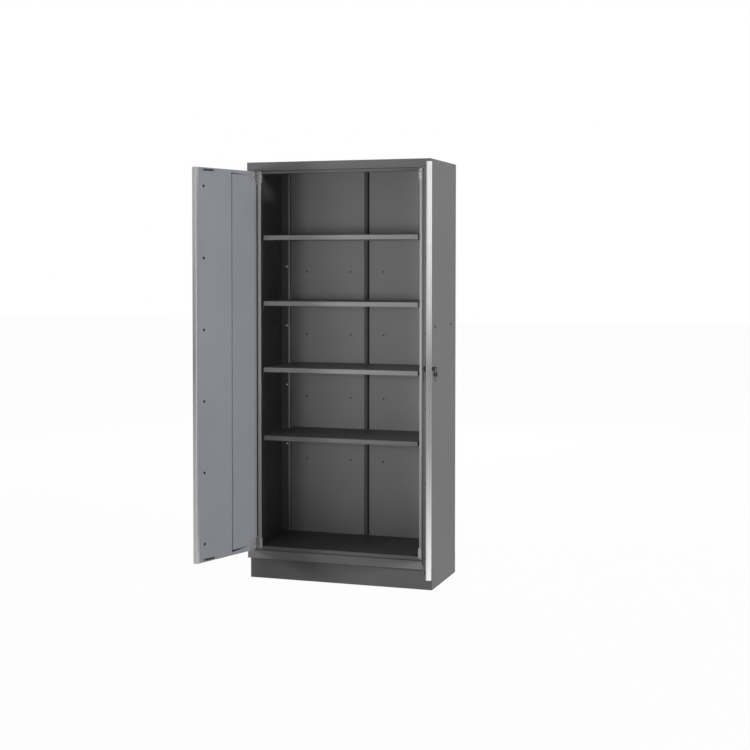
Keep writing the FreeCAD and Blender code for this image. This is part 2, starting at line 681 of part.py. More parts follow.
def door_catches():
    """Left door's magnetic catches: a magnet bar with a thin screwed tab at each end."""
    half = CATCH_LENGTH / 2
    reach = half + CATCH_TAB_LENGTH
    face = DOOR_INNER_FACE
    catches = []
    for z in CATCH_MIDDLES:
        z0 = z - CATCH_HEIGHT / 2
        z1 = z + CATCH_HEIGHT / 2
        bar = box(CATCH_X - half, CATCH_X + half, face, face + CATCH_THICKNESS, z0, z1)
        tabs = box(CATCH_X - reach, CATCH_X + reach, face, face + CATCH_TAB_THICKNESS, z0, z1)
        catches.append(bar.fuse(tabs).removeSplitter())
    whole = Part.makeCompound(catches)
    for point in catch_screw_points():
        whole = whole.cut(hole(SCREW_HOLE_R, point, Y_AXIS))
    return whole


def lock_bar(radius, y0, y1):
    """A round bar on the lock's axis."""
    return rod(radius, FreeCAD.Vector(LOCK_X, y0, LOCK_Z), Y_AXIS, y1 - y0)


def lock_block(half_x, half_z, y0, y1):
    """A block centred on the lock's axis."""
    return box(LOCK_X - half_x, LOCK_X + half_x, y0, y1, LOCK_Z - half_z, LOCK_Z + half_z)


def lock_plate_points():
    """Where screws hold the lock's plate."""
    offsets = (-LOCK_PLATE_SCREW_OFFSET, LOCK_PLATE_SCREW_OFFSET)
    return [FreeCAD.Vector(LOCK_X, LOCK_NUT_FACE, LOCK_Z + offset) for offset in offsets]


def lock_holes():
    """Cutter for the lock's holes in the sheets of its door."""
    screws = [hole(SCREW_HOLE_R, point, Y_AXIS) for point in lock_plate_points()]
    return lock_bar(LOCK_HOLE_R, FRONT - CUT_PAST, BARREL_END).fuse(screws)


def lock_barrel():
    """Fixed lock body: bezel on the door's face, round body, and the bore for the plug."""
    bezel = lock_bar(LOCK_BEZEL_R, PLUG_FACE, FRONT)
    rim = [edge for edge in bezel.Edges if edge.CenterOfMass.y < PLUG_FACE + LOCK_BEZEL_EASE]
    bezel = bezel.makeFillet(LOCK_BEZEL_EASE, rim)
    body = bezel.fuse(lock_bar(LOCK_BARREL_R, FRONT, BARREL_END)).removeSplitter()
    recess_end = PLUG_FACE + PLUG_FLANGE_THICKNESS + PLUG_FLANGE_GAP
    recess = lock_bar(PLUG_FLANGE_R + PLUG_CLEARANCE, PLUG_FACE, recess_end)
    return body.cut(recess).cut(lock_bar(PLUG_R + PLUG_CLEARANCE, PLUG_FACE, BARREL_END))


def lock_plate():
    """Stiffening plate behind the door's inner sheet."""
    blank = lock_block(LOCK_PLATE_WIDTH / 2, LOCK_PLATE_HEIGHT / 2, DOOR_INNER_FACE, LOCK_NUT_FACE)
    return blank.cut(lock_holes())


def lock_nut():
    """Six-sided nut that clamps the lock on its plate."""
    corner_r = LOCK_NUT_ACROSS_FLATS / 2 / math.cos(math.radians(30))
    corners = [FreeCAD.Vector(LOCK_X + corner_r * math.cos(math.radians(60 * turn)), LOCK_NUT_FACE,
                              LOCK_Z + corner_r * math.sin(math.radians(60 * turn))) for turn in range(7)]
    blank = Part.Face(Part.makePolygon(corners)).extrude(Y_AXIS * LOCK_NUT_THICKNESS)
    return blank.cut(lock_bar(LOCK_BARREL_R, LOCK_NUT_FACE, BARREL_END))


def lock_plug():
    """Turning plug: flanged face with a keyway, round body, and a square for the cam."""
    rear = CAM_FACE + CAM_GAUGE
    plug = lock_bar(PLUG_R, PLUG_FACE, CAM_FACE).fuse([
        lock_bar(PLUG_FLANGE_R, PLUG_FACE, PLUG_FACE + PLUG_FLANGE_THICKNESS),
        lock_block(PLUG_SQUARE / 2, PLUG_SQUARE / 2, CAM_FACE, rear)])
    keyway = lock_block(
        KEY_BLADE_GAUGE / 2 + KEYWAY_CLEARANCE, KEY_BLADE_WIDTH / 2 + KEYWAY_CLEARANCE, PLUG_FACE,
        PLUG_FACE + KEY_BLADE_LENGTH + KEYWAY_CLEARANCE)
    return plug.removeSplitter().cut(keyway).cut(lock_bar(SCREW_R, rear - CAM_SCREW_DEPTH, rear))


def lock_cam():
    """Locking arm on the plug's square: it hangs down when the lock is open."""
    half = CAM_WIDTH / 2
    rear = CAM_FACE + CAM_GAUGE
    arm = box(LOCK_X - half, LOCK_X + half, CAM_FACE, rear, LOCK_Z - CAM_REACH, LOCK_Z)
    square = lock_block(PLUG_SQUARE / 2, PLUG_SQUARE / 2, CAM_FACE, rear)
    return lock_bar(half, CAM_FACE, rear).fuse(arm).removeSplitter().cut(square)


def cam_screw():
    """Screw that holds the cam on the plug."""
    point = FreeCAD.Vector(LOCK_X, CAM_FACE + CAM_GAUGE, LOCK_Z)
    return screw(point, Y_AXIS, CAM_SCREW_HEAD_R, CAM_SCREW_HEAD_HEIGHT, CAM_SCREW_DEPTH)


def key_blade():
    """Blade of the key in the lock, with a tang in its bow."""
    return lock_block(
        KEY_BLADE_GAUGE / 2, KEY_BLADE_WIDTH / 2, PLUG_FACE - KEY_TANG, PLUG_FACE + KEY_BLADE_LENGTH)


def key_bow():
    """Moulded head of the key in the lock, with rounded corners and a hole for the ring."""
    blank = lock_block(KEY_BOW_GAUGE / 2, KEY_BOW_WIDTH / 2, PLUG_FACE - KEY_BOW_LENGTH, PLUG_FACE)
    corners = [edge for edge in blank.Edges if edge.BoundBox.XLength > KEY_BOW_GAUGE / 2]
    bow = blank.makeFillet(KEY_BOW_CORNER, corners)
    ring_hole = hole(KEY_HOLE_R, FreeCAD.Vector(LOCK_X, KEY_HOLE_Y, LOCK_Z), X_AXIS)
    return bow.cut(ring_hole).cut(key_blade())


def key_ring():
    """Wire ring that hangs in the hole of the key's bow."""
    centre = FreeCAD.Vector(LOCK_X, KEY_HOLE_Y, LOCK_Z - RING_DROP - RING_R)
    return Part.makeTorus(RING_R, RING_WIRE_R, centre, Y_AXIS)


def hung(shape):
    """A piece of the key, turned to hang from the bottom of the ring as the spare key."""
    spare = shape.copy()
    spare.rotate(FreeCAD.Vector(LOCK_X, KEY_HOLE_Y, LOCK_Z), X_AXIS, -90)
    spare.translate(Z_AXIS * -2 * (RING_DROP + RING_R))
    return spare


# Pieces of the body that are not paired
pieces = {
    "top_panel": top_panel(),
    "floor_panel": floor_panel(),
    "back_centre_strip": back_centre_strip(),
    "back_joint_seal": back_joint_seal(),
    "top_rail": top_rail(),
    "bottom_rail": bottom_rail(),
    "kick_plate": kick_plate(),
    "plinth_rear_rail": plinth_rear_rail(),
    "shelf_clips": shelf_clips(),
    "upright_screws": upright_screws(),
    "frame_hinge_screws": frame_hinge_screws(),
}
for number, top in enumerate(SHELF_TOPS, 1):
    pieces[f"shelf_{number}"] = shelf(top)

# Paired pieces of the body: the right one mirrors the left one
pairs = {
    "side_panel": side_panel(),
    "back_panel": back_panel(),
    "front_post": front_post(),
    "rear_upright": rear_upright(),
    "floor_bearer": floor_bearer(),
    "plinth_side": plinth_side(),
    "frame_hinges": frame_hinges(),
    "hinge_pins": hinge_pins(),
}
for name, left_piece in pairs.items():
    pieces[f"left_{name}"] = left_piece
    pieces[f"right_{name}"] = mirrored(left_piece)

# Doors: both are made as the closed left door, then swung open. The right one also has the lock.
common_screws = flat_screws(catch_screw_points() + door_leaf_points(), Y_AXIS)
plain_door = {
    "door_skin": door_skin(),
    "door_inner_panel": door_inner_panel(),
    "door_stiffener": door_stiffener(),
    "door_edge_profile": door_edge_profile(),
    "door_catches": door_catches(),
    "door_hinge_leaves": door_hinge_leaves(),
    "door_screws": Part.makeCompound(common_screws),
}
for name, door_piece in plain_door.items():
    pieces[f"left_{name}"] = opened(door_piece, LEFT_DOOR_OPEN)

lock_door = {f"right_{name}": door_piece for name, door_piece in plain_door.items()}
for name in ("right_door_skin", "right_door_inner_panel"):
    lock_door[name] = lock_door[name].cut(lock_holes())
lock_door["right_door_screws"] = Part.makeCompound(common_screws + flat_screws(lock_plate_points(), Y_AXIS))
lock_door.update({
    "lock_barrel": lock_barrel(),
    "lock_plate": lock_plate(),
    "lock_nut": lock_nut(),
    "lock_plug": lock_plug(),
    "lock_cam": lock_cam(),
    "cam_screw": cam_screw(),
    "key_blade": key_blade(),
    "key_bow": key_bow(),
    "key_ring": key_ring(),
    "spare_key_blade": hung(key_blade()),
    "spare_key_bow": hung(key_bow()),
})
for name, door_piece in lock_door.items():
    pieces[name] = mirrored(opened(door_piece, RIGHT_DOOR_OPEN))

for name, piece in pieces.items():
    piece.exportStep(f"parts/{name}.step")
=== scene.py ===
import json
import math

import bmesh
import bpy
from mathutils import Euler, Matrix, Vector


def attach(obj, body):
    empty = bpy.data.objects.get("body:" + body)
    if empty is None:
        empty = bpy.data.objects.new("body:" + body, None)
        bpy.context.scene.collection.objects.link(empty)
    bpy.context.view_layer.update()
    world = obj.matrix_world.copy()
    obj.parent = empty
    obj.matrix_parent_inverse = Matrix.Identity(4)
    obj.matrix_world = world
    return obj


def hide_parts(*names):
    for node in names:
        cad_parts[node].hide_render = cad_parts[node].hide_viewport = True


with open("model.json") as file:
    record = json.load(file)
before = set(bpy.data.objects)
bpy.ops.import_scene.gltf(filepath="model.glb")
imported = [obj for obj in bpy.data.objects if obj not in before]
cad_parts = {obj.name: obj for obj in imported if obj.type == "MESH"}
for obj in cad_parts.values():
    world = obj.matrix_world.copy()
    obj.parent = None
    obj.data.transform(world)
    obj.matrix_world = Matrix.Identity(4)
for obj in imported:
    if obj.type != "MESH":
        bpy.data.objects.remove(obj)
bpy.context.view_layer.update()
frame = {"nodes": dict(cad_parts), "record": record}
scene = bpy.context.scene
nodes = frame["nodes"]


# Materials

def new_material(name):
    """An empty node material with a Principled shader on its output."""
    material = bpy.data.materials.new(name)
    material.use_nodes = True
    tree = material.node_tree
    tree.nodes.clear()
    shader = tree.nodes.new("ShaderNodeBsdfPrincipled")
    output = tree.nodes.new("ShaderNodeOutputMaterial")
    tree.links.new(shader.outputs["BSDF"], output.inputs["Surface"])
    return material, tree, shader


def noise(tree, scale, detail, stretch):
    """Noise in the part's own frame, in waves per metre, scaled along each axis by stretch."""
    place = tree.nodes.new("ShaderNodeTexCoord")
    mapping = tree.nodes.new("ShaderNodeMapping")
    mapping.inputs["Scale"].default_value = stretch
    texture = tree.nodes.new("ShaderNodeTexNoise")
    texture.inputs["Scale"].default_value = scale
    texture.inputs["Detail"].default_value = detail
    tree.links.new(place.outputs["Object"], mapping.inputs["Vector"])
    tree.links.new(mapping.outputs["Vector"], texture.inputs["Vector"])
    return texture.outputs["Fac"]


# Most of the noise lies between these two values
NOISE_LOW = 0.3
NOISE_HIGH = 0.7


def tint(tree, fac, low, high):
    """A colour that runs between two tones."""
    ramp = tree.nodes.new("ShaderNodeValToRGB")
    ramp.color_ramp.elements[0].position = NOISE_LOW
    ramp.color_ramp.elements[0].color = (*low, 1)
    ramp.color_ramp.elements[1].position = NOISE_HIGH
    ramp.color_ramp.elements[1].color = (*high, 1)
    tree.links.new(fac, ramp.inputs["Fac"])
    return ramp.outputs["Color"]


def spread(tree, fac, low, high):
    """A number that runs between two values."""
    span = tree.nodes.new("ShaderNodeMapRange")
    span.inputs["From Min"].default_value = NOISE_LOW
    span.inputs["From Max"].default_value = NOISE_HIGH
    span.inputs["To Min"].default_value = low
    span.inputs["To Max"].default_value = high
    tree.links.new(fac, span.inputs["Value"])
    return span.outputs["Result"]


RELIEF_DEPTH = 0.0004


def bump(tree, shader, height, strength):
    """Fine relief on a shader."""
    relief = tree.nodes.new("ShaderNodeBump")
    relief.inputs["Strength"].default_value = strength
    relief.inputs["Distance"].default_value = RELIEF_DEPTH
    tree.links.new(height, relief.inputs["Height"])
    tree.links.new(relief.outputs["Normal"], shader.inputs["Normal"])


def surface(name, low, high, rough, metallic=0.0, patch=3.0, grain=700.0, relief=0.06,
            stretch=(1, 1, 1), shine=0.5):
    """A procedural finish: tone in broad patches, fine grain in the gloss and relief."""
    material, tree, shader = new_material(name)
    shader.inputs["Metallic"].default_value = metallic
    shader.inputs["Specular IOR Level"].default_value = shine
    broad = noise(tree, patch, 3, stretch)
    fine = noise(tree, grain, 2, stretch)
    tree.links.new(tint(tree, broad, low, high), shader.inputs["Base Color"])
    tree.links.new(spread(tree, fine, rough[0], rough[1]), shader.inputs["Roughness"])
    bump(tree, shader, fine, relief)
    return material


def grey(value, blue=1.0):
    """A grey, cooler as its blue goes up."""
    return (value * (1.25 - blue * 0.25), value, value * blue)


def paint(name, tone, shine, rough, blue=1.0):
    """Satin powder coat in one grey."""
    return surface(name, grey(tone * 0.96, blue), grey(tone * 1.04, blue), rough, shine=shine)


def along(tree, axis, stops):
    """A grey that follows one axis of the part, through (place in metres, tone) stops."""
    start, end = stops[0][0], stops[-1][0]
    place = tree.nodes.new("ShaderNodeTexCoord")
    parts = tree.nodes.new("ShaderNodeSeparateXYZ")
    span = tree.nodes.new("ShaderNodeMapRange")
    span.inputs["From Min"].default_value = start
    span.inputs["From Max"].default_value = end
    ramp = tree.nodes.new("ShaderNodeValToRGB")
    points = ramp.color_ramp.elements
    while len(points) < len(stops):
        points.new(0.5)
    for point, (position, tone) in zip(points, stops):
        point.position = (position - start) / (end - start)
        point.color = (tone, tone, tone, 1)
    tree.links.new(place.outputs["Object"], parts.inputs["Vector"])
    tree.links.new(parts.outputs[axis], span.inputs["Value"])
    tree.links.new(span.outputs["Result"], ramp.inputs["Fac"])
    return ramp.outputs["Color"]


def colour_mix(material):
    """A mix node between a finish's colour, as its A, and the shader."""
    tree = material.node_tree
    socket = tree.nodes["Principled BSDF"].inputs["Base Color"]
    mix = tree.nodes.new("ShaderNodeMix")
    mix.data_type = "RGBA"
    tree.links.new(socket.links[0].from_socket, mix.inputs["A"])
    tree.links.new(mix.outputs["Result"], socket)
    return tree, mix


def graded(material, axis, stops):
    """Multiply a finish's colour by a grey that follows one axis of the part."""
    tree, mix = colour_mix(material)
    mix.blend_type = "MULTIPLY"
    mix.inputs["Factor"].default_value = 1.0
    tree.links.new(along(tree, axis, stops), mix.inputs["B"])
    return material


LEG_TONE = grey(0.52, 1.05)


def aluminium(name, tone, stops, leg_stops):
    """Drawn aluminium with fine lines along its length, with painted reflection: its face lighter and
    darker along its height.

    The leg on the door's inner side keeps one tone; its stops run across the corner, in X.
    """
    material = surface(name, grey(tone * 0.94), grey(tone * 1.06), (0.26, 0.36), metallic=0.55,
                       patch=6.0, grain=900.0, relief=0.04, stretch=(1, 1, 0.02))
    graded(material, "Z", stops)
    tree, mix = colour_mix(material)
    mix.inputs["B"].default_value = (*LEG_TONE, 1)
    tree.links.new(along(tree, "X", leg_stops), mix.inputs["Factor"])
    return material


# One dark powder coat in the tones that its pieces show. The other paints are lit and shaded copies of
# it, so their tones carry painted light and painted shade, paler on the faces round the shelves
PAINT = paint("anthracite_paint", 0.143, 0.08, (0.48, 0.58), 1.02)
# Painted shade: the cabinet's floor panel darker than the body paint
SHADED_FLOOR_PAINT = paint("shaded_floor_paint", 0.105, 0.08, (0.40, 0.50))
# Painted light on the left door's inner face, paler than the body paint; painted shade on the right
# door's inner face, darker than the left's
LIT_DOOR_PAINT = paint("lit_door_paint", 0.255, 0.15, (0.42, 0.52), 1.10)
SHADED_RIGHT_DOOR_PAINT = paint("shaded_right_door_paint", 0.16, 0.15, (0.42, 0.52), 1.09)
# Painted shade on the top rail, painted light on the bottom rail
SHADED_TOP_RAIL_PAINT = paint("shaded_top_rail_paint", 0.122, 0.08, (0.48, 0.58))
LIT_BOTTOM_RAIL_PAINT = paint("lit_bottom_rail_paint", 0.212, 0.08, (0.48, 0.58), 0.98)

# Back panels, with painted light: paler on the side to the shelves, then the outside in the body's tone
BACK_PAINT_LIT_INSIDE = graded(
    paint("back_paint_lit_inside", 0.30, 0.30, (0.40, 0.50)), "Y",
    ((-0.0058, 1.0), (-0.0052, 0.47)))

# Shelves, in a paler copy of the paint with painted light on the front lip and painted shade on the deck:
# the front lip, then the deck. The lowest shelf is darker still, which is painted shade
LIT_SHELF_PAINT = graded(
    paint("lit_shelf_paint", 0.24, 0.15, (0.40, 0.50)), "Y",
    ((-0.4250, 1.0), (-0.4235, 0.75)))
SHADED_LOW_SHELF_PAINT = graded(
    paint("shaded_low_shelf_paint", 0.16, 0.10, (0.40, 0.50)), "Y",
    ((-0.4250, 1.0), (-0.4235, 0.90)))

# Front posts, with painted light on the stop lip and painted shade on the face and behind the lip: the
# face, the stop lip, then what lies behind the lip
POST_PAINT_LIT_LIP = graded(
    paint("post_paint_lit_lip", 0.40, 0.30, (0.40, 0.50)), "Y",
    ((-0.4385, 0.36), (-0.4375, 1.0), (-0.4335, 1.0), (-0.4325, 0.20)))

# Painted reflection: the edge profiles' faces lighter and darker along their height; the right door's
# profile paler, with a painted reflection across its face
ALUMINIUM_PAINTED_REFLECTION = aluminium(
    "edge_aluminium", 0.50,
    ((0.14, 1.0), (0.55, 0.68), (1.05, 0.36), (1.45, 0.48), (1.96, 0.72)),
    ((-0.5384, 0.0), (-0.5374, 1.0)))
BRIGHT_ALUMINIUM_PAINTED_REFLECTION = aluminium(
    "bright_aluminium_painted_reflection", 0.98,
    ((0.14, 1.0), (0.55, 0.52), (0.75, 0.34), (1.05, 0.26), (1.35, 0.59), (1.65, 0.76), (1.96, 0.82)),
    ((0.5482, 1.0), (0.5492, 0.0)))
graded(BRIGHT_ALUMINIUM_PAINTED_REFLECTION, "X", ((0.5490, 0.78), (0.5570, 0.96), (0.5650, 1.0)))

PLATED = surface(
    "plated_steel", (0.40, 0.40, 0.39), (0.56, 0.55, 0.53), (0.24, 0.36),
    metallic=1.0, patch=60.0, grain=1500.0, relief=0.05)
ZINC = surface(
    "hinge_zinc", grey(0.14), grey(0.66), (0.28, 0.40),
    metallic=0.45, patch=170.0, grain=1500.0, relief=0.05)
# Painted highlight: a pale paint for the beads along the rear uprights
PAINTED_HIGHLIGHT_EDGE = paint("painted_highlight_edge", 0.60, 0.5, (0.26, 0.34))
# Painted shade: the key blades darker than the plated steel
SHADED_KEY_STEEL = surface(
    "shaded_key_steel", grey(0.10), grey(0.16), (0.30, 0.42),
    metallic=0.8, patch=60.0, grain=1500.0, relief=0.04)
BRIGHT_SCREW = surface(
    "bright_screw", grey(0.92), grey(0.98), (0.08, 0.14),
    metallic=0.90, patch=40.0, grain=1500.0, relief=0.02)
PLUG = surface(
    "plug_black", grey(0.006), grey(0.012), (0.60, 0.72),
    patch=60.0, grain=1800.0, relief=0.08, shine=0.08)
FIXING_PLUG = surface(
    "fixing_plug", grey(0.05), grey(0.08), (0.28, 0.40),
    patch=60.0, grain=1800.0, relief=0.08)
CATCH = surface(
    "catch_black", grey(0.012), grey(0.022), (0.50, 0.62),
    patch=40.0, grain=1800.0, relief=0.08)
# Black for seals and mastic, also the painted shade of the lip strips and of the wedges at the
# stiffener's ends
SEAL_AND_SHADE_BLACK = surface(
    "seal_black", grey(0.006), grey(0.010), (0.70, 0.80),
    patch=30.0, grain=1500.0, relief=0.10)
KEY_PLASTIC = surface(
    "key_plastic", grey(0.010), grey(0.016), (0.38, 0.50),
    patch=60.0, grain=2500.0, relief=0.10)
LOCK_BLACK = surface(
    "lock_black", grey(0.018), grey(0.028), (0.30, 0.40),
    metallic=0.3, patch=60.0, grain=2000.0, relief=0.04)

# The finish of each slot, and of the nodes whose names hold a word; the first word found counts
finishes = {
    "anthracite_paint": PAINT,
    "edge_aluminium": ALUMINIUM_PAINTED_REFLECTION,
    "plated_steel": PLATED,
    "catch_black": CATCH,
    "seal_black": SEAL_AND_SHADE_BLACK,
    "key_plastic": KEY_PLASTIC,
    "lock_black": LOCK_BLACK,
}
tones = {
    "right_door_edge": BRIGHT_ALUMINIUM_PAINTED_REFLECTION,
    "right_door_inner": SHADED_RIGHT_DOOR_PAINT,
    "right_door_stiff": SHADED_RIGHT_DOOR_PAINT,
    "key_blade": SHADED_KEY_STEEL,
    "lock_plate": LOCK_BLACK,
    "lock_nut": LOCK_BLACK,
    "cam": LOCK_BLACK,
    "floor_panel": SHADED_FLOOR_PAINT,
    "hinge": ZINC,
    "door_screws": ZINC,
    "door_inner_panel": LIT_DOOR_PAINT,
    "door_stiffener": LIT_DOOR_PAINT,
    "back_panel": BACK_PAINT_LIT_INSIDE,
    "shelf_1": SHADED_LOW_SHELF_PAINT,
    "shelf_clips": PAINT,
    "top_rail": SHADED_TOP_RAIL_PAINT,
    "bottom_rail": LIT_BOTTOM_RAIL_PAINT,
    "shelf": LIT_SHELF_PAINT,
    "front_post": POST_PAINT_LIT_LIP,
}
for row in frame["record"]["subparts"]:
    found = [tone for word, tone in tones.items() if word in row["node"]]
    mesh = nodes[row["node"]].data
    mesh.materials.clear()
    mesh.materials.append(found[0] if found else finishes[row["material_slot"]])


# Mesh helpers

def add_piece(name, mesh_data, finish, body, smooth=True):
    """A mesh piece with a finish, riding on a body."""
    bmesh.ops.recalc_face_normals(mesh_data, faces=mesh_data.faces[:])
    mesh = bpy.data.meshes.new(name)
    mesh_data.to_mesh(mesh)
    mesh_data.free()
    for face in mesh.polygons:
        face.use_smooth = smooth
    mesh.materials.append(finish)
    piece = bpy.data.objects.new(name, mesh)
    scene.collection.objects.link(piece)
    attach(piece, body)
    return piece


def turned(mesh_data, outline, centre, axis, steps=20):
    """Turn an outline of (radius, height) pairs round an axis through a point."""
    axis = Vector(axis).normalized()
    side = axis.orthogonal().normalized()
    other = axis.cross(side)
    rings = []
    for radius, height in outline:
        ring = []
        for step in range(steps):
            angle = 2 * math.pi * step / steps
            spoke = side * math.cos(angle) + other * math.sin(angle)
            ring.append(mesh_data.verts.new(Vector(centre) + spoke * radius + axis * height))
        rings.append(ring)
    for low, high in zip(rings, rings[1:]):
        for step in range(steps):
            after = (step + 1) % steps
            mesh_data.faces.new((low[step], low[after], high[after], high[step]))
    mesh_data.faces.new(rings[0][::-1])
    mesh_data.faces.new(rings[-1])


def skin(mesh_data, first, second):
    """Close the space between two outlines with the same number of points."""
    ends = [[mesh_data.verts.new(point) for point in outline] for outline in (first, second)]
    count = len(first)
    for step in range(count):
        after = (step + 1) % count
        mesh_data.faces.new((ends[0][step], ends[0][after], ends[1][after], ends[1][step]))
    mesh_data.faces.new(ends[0][::-1])
    mesh_data.faces.new(ends[1])


def upright(mesh_data, outline, low, high):
    """An outline of (x, y) pairs drawn up from one height to another."""
    skin(mesh_data, [(x, y, low) for x, y in outline], [(x, y, high) for x, y in outline])


def half_round(mesh_data, middle, face, half_width, rise, low, high, steps=10):
    """An upright strip with a rounded front, on a face that looks to -Y."""
    outline = []
    for step in range(steps + 1):
        angle = math.pi * step / steps
        outline.append((middle - half_width * math.cos(angle), face - rise * math.sin(angle)))
    upright(mesh_data, outline, low, high)


# Trim on the cabinet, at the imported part's places in metres

# The left and the right side
HANDS = (-1, 1)

# Plugs in the wall fixing holes of the back panels
BACK_FACE = -0.0062
BACK_HOLE_X = (-0.320, -0.087, 0.087, 0.320)
BACK_HOLE_Z = [0.529 + 0.316 * row for row in range(4)]
FIXING_PLUG_OUTLINE = (
    (0.0034, -0.003), (0.0034, 0), (0.0052, 0), (0.0050, 0.0009), (0.0036, 0.0016), (0.0012, 0.0019))
plugs = bmesh.new()
for x in BACK_HOLE_X:
    for z in BACK_HOLE_Z:
        turned(plugs, FIXING_PLUG_OUTLINE, (x, BACK_FACE, z), (0, -1, 0))
add_piece("fixing_plugs", plugs, FIXING_PLUG, "cabinet")

# Flat plugs in the joining holes of the sides
SIDE_X = 0.455
JOIN_HOLE_Y = (-0.092, -0.380)
JOIN_HOLE_Z = 1.225
JOINING_PLUG_OUTLINE = (
    (0.0054, -0.0030), (0.0054, 0), (0.0078, 0), (0.0076, 0.0006), (0.0060, 0.0011), (0.0020, 0.0013))
plugs = bmesh.new()
for hand in HANDS:
    for y in JOIN_HOLE_Y:
        turned(plugs, JOINING_PLUG_OUTLINE, (hand * SIDE_X, y, JOIN_HOLE_Z), (hand, 0, 0))
add_piece("joining_plugs", plugs, PLUG, "cabinet")

# Rounded edge bead on each rear upright, in a pale paint that is a painted highlight
UPRIGHT_FACE = -0.0182
BEAD_X = 0.4110
BEAD_HALF_WIDTH = 0.005
BEAD_RISE = 0.0028
BEAD_Z = (0.160, 1.990)
beads = bmesh.new()
for hand in HANDS:
    half_round(beads, hand * BEAD_X, UPRIGHT_FACE, BEAD_HALF_WIDTH, BEAD_RISE, *BEAD_Z)
add_piece("upright_highlight_beads", beads, PAINTED_HIGHLIGHT_EDGE, "cabinet")

# Black strip on the stop lip of each post, between the hinges, a painted shade for the gap beside the
# door
LIP_FACE = -0.435
SHADE_STRIP_X = 0.4165
SHADE_STRIP_HALF_WIDTH = 0.0045
SHADE_STRIP_RISE = 0.0017
SHADE_STRIP_Z = (0.202, 1.898)
shade_strips = bmesh.new()
for hand in HANDS:
    half_round(shade_strips, hand * SHADE_STRIP_X, LIP_FACE, SHADE_STRIP_HALF_WIDTH, SHADE_STRIP_RISE, *SHADE_STRIP_Z)
add_piece("lip_shade_strips", shade_strips, SEAL_AND_SHADE_BLACK, "cabinet")

# Mastic in the upright joints between the kick plate and the plinth sides
SEAM_OUTLINE = (
    (0.4515, -0.3951), (0.4515, -0.3941), (0.4546, -0.3941), (0.4549, -0.3946), (0.4546, -0.3951))
SEAM_Z = (0.001, 0.0995)
seams = bmesh.new()
for hand in HANDS:
    upright(seams, [(hand * x, y) for x, y in SEAM_OUTLINE], *SEAM_Z)
add_piece("plinth_seams", seams, SEAL_AND_SHADE_BLACK, "cabinet", smooth=False)


# Trim on the doors, laid out on the closed left door

LEFT_PIVOT = Vector((-0.4275, -0.4535, 0))
OPEN_ANGLE = {"left_door": math.radians(107.0), "right_door": math.radians(108.5)}
DOOR_HAND = {"left_door": 1, "right_door": -1}
DOOR_INNER_FACE = -0.438

BUFFER_X = -0.0545
BUFFER_Z = [0.227 + 0.329 * row for row in range(6)]
BUFFER_OUTLINE = (
    (0.0044, -0.003), (0.0044, 0), (0.0064, 0), (0.0062, 0.0010), (0.0046, 0.0018), (0.0015, 0.0021))

# Heights of the dark wedges at the stiffener's ends, a painted shadow: inside, at its thin side and at
# its deep side
SHADOW_WEDGE_THIN_X = -0.3725
SHADOW_WEDGE_DEEP_X = -0.2485
SHADOW_WEDGE_Z = ((0.1715, 0.1695, 0.1590), (1.9355, 1.9375, 1.9420))
SHADOW_WEDGE_RISES = (0.0055, 0.0008, 0.0006, 0.0040)


def opened(body, point):
    """A point of the closed left door, on the given door as it stands open."""
    turn = Matrix.Rotation(-OPEN_ANGLE[body], 3, "Z")
    spot = LEFT_PIVOT + turn @ (Vector(point) - LEFT_PIVOT)
    return Vector((DOOR_HAND[body] * spot.x, spot.y, spot.z))


for body in ("left_door", "right_door"):
    # Rubber buffers in the small holes along the inner panel
    buffers = bmesh.new()
    for z in BUFFER_Z:
        foot = opened(body, (BUFFER_X, DOOR_INNER_FACE, z))
        ahead = opened(body, (BUFFER_X, DOOR_INNER_FACE + 1, z))
        turned(buffers, BUFFER_OUTLINE, foot, ahead - foot)
    add_piece(body + "_buffers", buffers, PLUG, body)

    # Dark wedges at both ends of the stiffener, a painted shadow
    shadow_wedge = bmesh.new()
    for inside, thin, deep in SHADOW_WEDGE_Z:
        corners = ((SHADOW_WEDGE_DEEP_X, inside), (SHADOW_WEDGE_THIN_X, inside), (SHADOW_WEDGE_THIN_X, thin), (SHADOW_WEDGE_DEEP_X, deep))
        base = [opened(body, (x, DOOR_INNER_FACE, z)) for x, z in corners]
        crest = [opened(body, (x, DOOR_INNER_FACE + rise, z))
                 for (x, z), rise in zip(corners, SHADOW_WEDGE_RISES)]
        skin(shadow_wedge, base, crest)
    add_piece(body + "_stiffener_shadow_wedge", shadow_wedge, SEAL_AND_SHADE_BLACK, body, smooth=False)

# Bright domed screws of the rear uprights
SCREW_X = 0.425
SCREW_Z = [0.604 + 0.300 * row for row in range(4)]
SCREW_OUTLINE = (
    (0.0020, -0.009), (0.0020, 0), (0.0062, 0), (0.0061, 0.0005), (0.0056, 0.0011), (0.0047, 0.0018),
    (0.0034, 0.0024), (0.0018, 0.0028), (0.0003, 0.0029))
screws = bmesh.new()
for hand in HANDS:
    for z in SCREW_Z:
        turned(screws, SCREW_OUTLINE, (hand * SCREW_X, UPRIGHT_FACE, z), (0, -1, 0))
screw_heads = add_piece("upright_screw_heads", screws, BRIGHT_SCREW, "cabinet")
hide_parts("upright_screws")


# Stage

# The floor's share of plain white where it is seen; the rest takes the object's shadow
FLOOR_SIZE = 60
FLOOR_GLOW = 0.975
FILL_STRENGTH = 0.18

bpy.ops.mesh.primitive_plane_add(size=FLOOR_SIZE, location=(0, 0, 0))
floor = bpy.context.object
floor.name = "floor"


